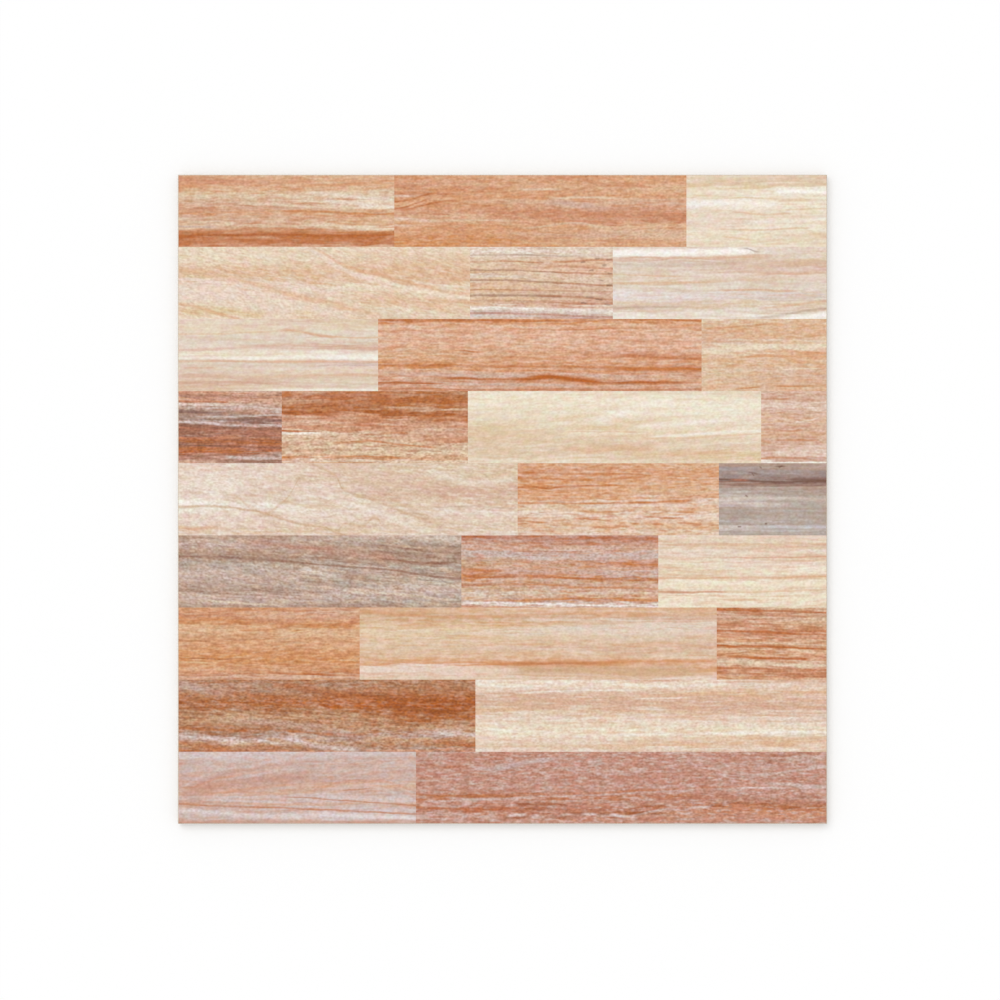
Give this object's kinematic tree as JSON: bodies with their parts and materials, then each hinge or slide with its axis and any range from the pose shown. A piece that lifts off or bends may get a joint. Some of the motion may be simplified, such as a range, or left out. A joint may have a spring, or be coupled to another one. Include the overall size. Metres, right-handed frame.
{
  "type": "wood-look floor tile",
  "caption": "Square glazed porcelain floor tile, its face printed as staggered wood strips, with ground bevelled edges and a pocketed back that bedding adhesive grips.",
  "frame": {"origin": "centre of the bedding plane, the plane on which the ribs of the keyed back stand", "axes": "+Z out of the glazed face, +X along the strips of the printed wood, +Y across them"},
  "size_m": [0.6, 0.6, 0.0095],
  "materials": {
    "glazed_porcelain": "satin glaze over a printed pattern of wood strips, with a bare fired body at the edges and on the back"
  },
  "bodies": {
    "root": {"floor_tile": "glazed_porcelain"}
  },
  "joints": []
}
